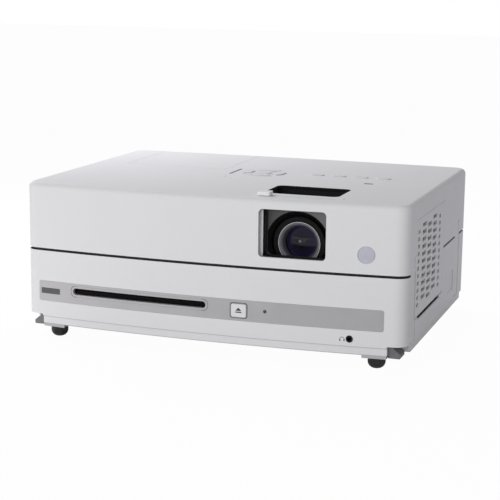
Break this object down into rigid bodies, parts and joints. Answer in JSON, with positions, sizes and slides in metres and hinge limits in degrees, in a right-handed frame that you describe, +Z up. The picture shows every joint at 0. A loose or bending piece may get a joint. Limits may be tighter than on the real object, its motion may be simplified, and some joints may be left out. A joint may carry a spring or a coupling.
{
  "type": "projector with built in disc player",
  "caption": "White two-part home projector with a slot-loading disc player in its base, sliding lens door, louvred filter cover, lift-off lamp door and adjustable front feet.",
  "frame": {"origin": "on the table under the middle of the case, level with the undersides of the feet", "axes": "+X to the right seen from the front, +Y to the back, +Z up; the bowed front faces -Y"},
  "size_m": [0.341, 0.2573, 0.1398],
  "materials": {
    "white_case": "satin white moulded plastic",
    "key_white": "satin white moulded plastic",
    "silver_trim": "satin silver-grey lacquer",
    "felt": "black felt",
    "black_plastic": "fine matt black",
    "dark_plastic": "matt dark grey",
    "grey_plastic": "matt mid grey",
    "foot_rubber": "black rubber",
    "steel": "plain zinc-plated steel",
    "circuit_board": "green lacquered board",
    "smoked_window": "smoked clear plastic",
    "receiver_window": "pale lavender infra-red window",
    "bright_ring": "turned and satin anodised",
    "lens_glass": "coated glass",
    "cast_metal": "die-cast, as cast",
    "foam": "open dark foam",
    "socket_metal": "tinned steel shells"
  },
  "bodies": {
    "case": {"lower_case": "white_case", "upper_case": "white_case", "trim_strip": "silver_trim", "slot_bezel": "silver_trim", "dust_curtain": "felt", "headphone_jack": "black_plastic", "rear_feet": "foot_rubber", "case_screws": "steel", "key_board": "circuit_board", "indicator_lights": "smoked_window", "ir_windows": "receiver_window", "lens_bezel": "dark_plastic", "lens_barrel": "black_plastic", "lens_retainer": "bright_ring", "front_lens": "lens_glass", "optical_engine": "cast_metal", "lamp_unit": "dark_plastic", "middle_deck": "steel", "main_board": "circuit_board", "power_board": "circuit_board", "intake_fan_frame": "black_plastic", "exhaust_fan_frame": "black_plastic", "air_filter": "foam", "exhaust_grille": "white_case", "drive_chassis": "steel", "drive_top_plate": "steel", "port_panel": "grey_plastic", "data_sockets": "socket_metal", "rca_sockets": "black_plastic", "power_inlet": "black_plastic", "speakers": "dark_plastic"},
    "shutter_body": {"shutter": "white_case"},
    "focus_ring_body": {"focus_ring": "black_plastic"},
    "zoom_ring_body": {"zoom_ring": "black_plastic"},
    "eject_button_body": {"eject_button": "white_case"},
    "nav_key_back_body": {"nav_key_back": "key_white"},
    "nav_key_right_body": {"nav_key_right": "key_white"},
    "nav_key_front_body": {"nav_key_front": "key_white"},
    "nav_key_left_body": {"nav_key_left": "key_white"},
    "enter_key_body": {"enter_key": "key_white"},
    "source_key_body": {"source_key": "key_white"},
    "menu_key_body": {"menu_key": "key_white"},
    "exit_key_body": {"exit_key": "key_white"},
    "power_key_body": {"power_key": "key_white"},
    "front_foot_left_body": {"front_foot_left": "foot_rubber"},
    "front_foot_right_body": {"front_foot_right": "foot_rubber"},
    "foot_lever_left_body": {"foot_lever_left": "grey_plastic"},
    "foot_lever_right_body": {"foot_lever_right": "grey_plastic"},
    "filter_cover_body": {"filter_cover": "white_case"},
    "lamp_door_body": {"lamp_door": "white_case"},
    "intake_rotor_body": {"intake_fan_rotor": "black_plastic"},
    "exhaust_rotor_body": {"exhaust_fan_rotor": "black_plastic"},
    "feed_roller_body": {"feed_roller": "foot_rubber"},
    "traverse_body": {"traverse_plate": "dark_plastic", "drive_motors": "steel", "guide_rods": "steel"},
    "turntable_body": {"turntable": "dark_plastic"},
    "lead_screw_body": {"lead_screw": "steel"},
    "pickup_sled_body": {"pickup_sled": "dark_plastic"},
    "clamper_body": {"clamper": "dark_plastic"}
  },
  "joints": [
    {"name": "shutter_slide", "type": "slide", "parent": "case", "child": "shutter_body", "axis": [1, 0, 0], "range_m": [0, 0.0572]},
    {"name": "focus_turn", "type": "hinge", "parent": "case", "child": "focus_ring_body", "pos_m": [0.076, -0.087, 0.0986], "axis": [0, 1, 0], "range_deg": [-35, 35]},
    {"name": "zoom_turn", "type": "hinge", "parent": "case", "child": "zoom_ring_body", "pos_m": [0.076, -0.0655, 0.0986], "axis": [0, 1, 0], "range_deg": [-30, 30]},
    {"name": "eject_press", "type": "slide", "parent": "case", "child": "eject_button_body", "axis": [0, 1, 0], "range_m": [0, 0.001], "stiffness_N_per_m": 800},
    {"name": "nav_key_back_press", "type": "slide", "parent": "case", "child": "nav_key_back_body", "axis": [0, 0, -1], "range_m": [0, 0.0007], "stiffness_N_per_m": 800, "springref_m": -0.0002},
    {"name": "nav_key_right_press", "type": "slide", "parent": "case", "child": "nav_key_right_body", "axis": [0, 0, -1], "range_m": [0, 0.0007], "stiffness_N_per_m": 800, "springref_m": -0.0002},
    {"name": "nav_key_front_press", "type": "slide", "parent": "case", "child": "nav_key_front_body", "axis": [0, 0, -1], "range_m": [0, 0.0007], "stiffness_N_per_m": 800, "springref_m": -0.0002},
    {"name": "nav_key_left_press", "type": "slide", "parent": "case", "child": "nav_key_left_body", "axis": [0, 0, -1], "range_m": [0, 0.0007], "stiffness_N_per_m": 800, "springref_m": -0.0002},
    {"name": "enter_press", "type": "slide", "parent": "case", "child": "enter_key_body", "axis": [0, 0, -1], "range_m": [0, 0.0007], "stiffness_N_per_m": 800, "springref_m": -0.0002},
    {"name": "source_press", "type": "slide", "parent": "case", "child": "source_key_body", "axis": [0, 0, -1], "range_m": [0, 0.0007], "stiffness_N_per_m": 800, "springref_m": -0.0002},
    {"name": "menu_press", "type": "slide", "parent": "case", "child": "menu_key_body", "axis": [0, 0, -1], "range_m": [0, 0.0007], "stiffness_N_per_m": 800, "springref_m": -0.0002},
    {"name": "exit_press", "type": "slide", "parent": "case", "child": "exit_key_body", "axis": [0, 0, -1], "range_m": [0, 0.0007], "stiffness_N_per_m": 800, "springref_m": -0.0002},
    {"name": "power_press", "type": "slide", "parent": "case", "child": "power_key_body", "axis": [0, 0, -1], "range_m": [0, 0.0007], "stiffness_N_per_m": 800, "springref_m": -0.0002},
    {"name": "foot_left_out", "type": "slide", "parent": "case", "child": "front_foot_left_body", "axis": [0, 0, -1], "range_m": [0, 0.018]},
    {"name": "foot_right_out", "type": "slide", "parent": "case", "child": "front_foot_right_body", "axis": [0, 0, -1], "range_m": [0, 0.018]},
    {"name": "lever_left_press", "type": "slide", "parent": "case", "child": "foot_lever_left_body", "axis": [0, 0, 1], "range_m": [0, 0.0015], "stiffness_N_per_m": 600},
    {"name": "lever_right_press", "type": "slide", "parent": "case", "child": "foot_lever_right_body", "axis": [0, 0, 1], "range_m": [0, 0.0015], "stiffness_N_per_m": 600},
    {"name": "filter_cover_swing", "type": "hinge", "parent": "case", "child": "filter_cover_body", "pos_m": [0.1688, -0.036, 0.1198], "axis": [0, -1, 0], "range_deg": [0, 80]},
    {"name": "lamp_door_lift", "type": "slide", "parent": "case", "child": "lamp_door_body", "axis": [0, 0, 1], "range_m": [0, 0.03]},
    {"name": "intake_fan_spin", "type": "hinge", "parent": "case", "child": "intake_rotor_body", "pos_m": [0.151, -0.036, 0.0795], "axis": [1, 0, 0], "continuous": true},
    {"name": "exhaust_fan_spin", "type": "hinge", "parent": "case", "child": "exhaust_rotor_body", "pos_m": [-0.151, 0.0235, 0.0825], "axis": [1, 0, 0], "continuous": true},
    {"name": "feed_roller_spin", "type": "hinge", "parent": "case", "child": "feed_roller_body", "pos_m": [-0.0613, -0.1095, 0.0393], "axis": [1, 0, 0], "continuous": true},
    {"name": "traverse_lift", "type": "slide", "parent": "case", "child": "traverse_body", "axis": [0, 0, 1], "range_m": [0, 0.0016]},
    {"name": "turntable_spin", "type": "hinge", "parent": "traverse_body", "child": "turntable_body", "pos_m": [-0.0613, -0.0445, 0.041], "axis": [0, 0, 1], "continuous": true},
    {"name": "sled_run", "type": "slide", "parent": "traverse_body", "child": "pickup_sled_body", "axis": [0, 1, 0], "range_m": [0, 0.034]},
    {"name": "lead_screw_turn", "type": "hinge", "parent": "traverse_body", "child": "lead_screw_body", "pos_m": [-0.0343, -0.01, 0.0372], "axis": [0, 1, 0], "range_deg": [-5, 6130]},
    {"name": "clamper_spin", "type": "hinge", "parent": "case", "child": "clamper_body", "pos_m": [-0.0613, -0.0445, 0.055], "axis": [0, 0, 1], "continuous": true}
  ],
  "couplings": [
    {"joint": "lead_screw_turn", "follows": "sled_run", "rad_per_m": 3141.6}
  ]
}
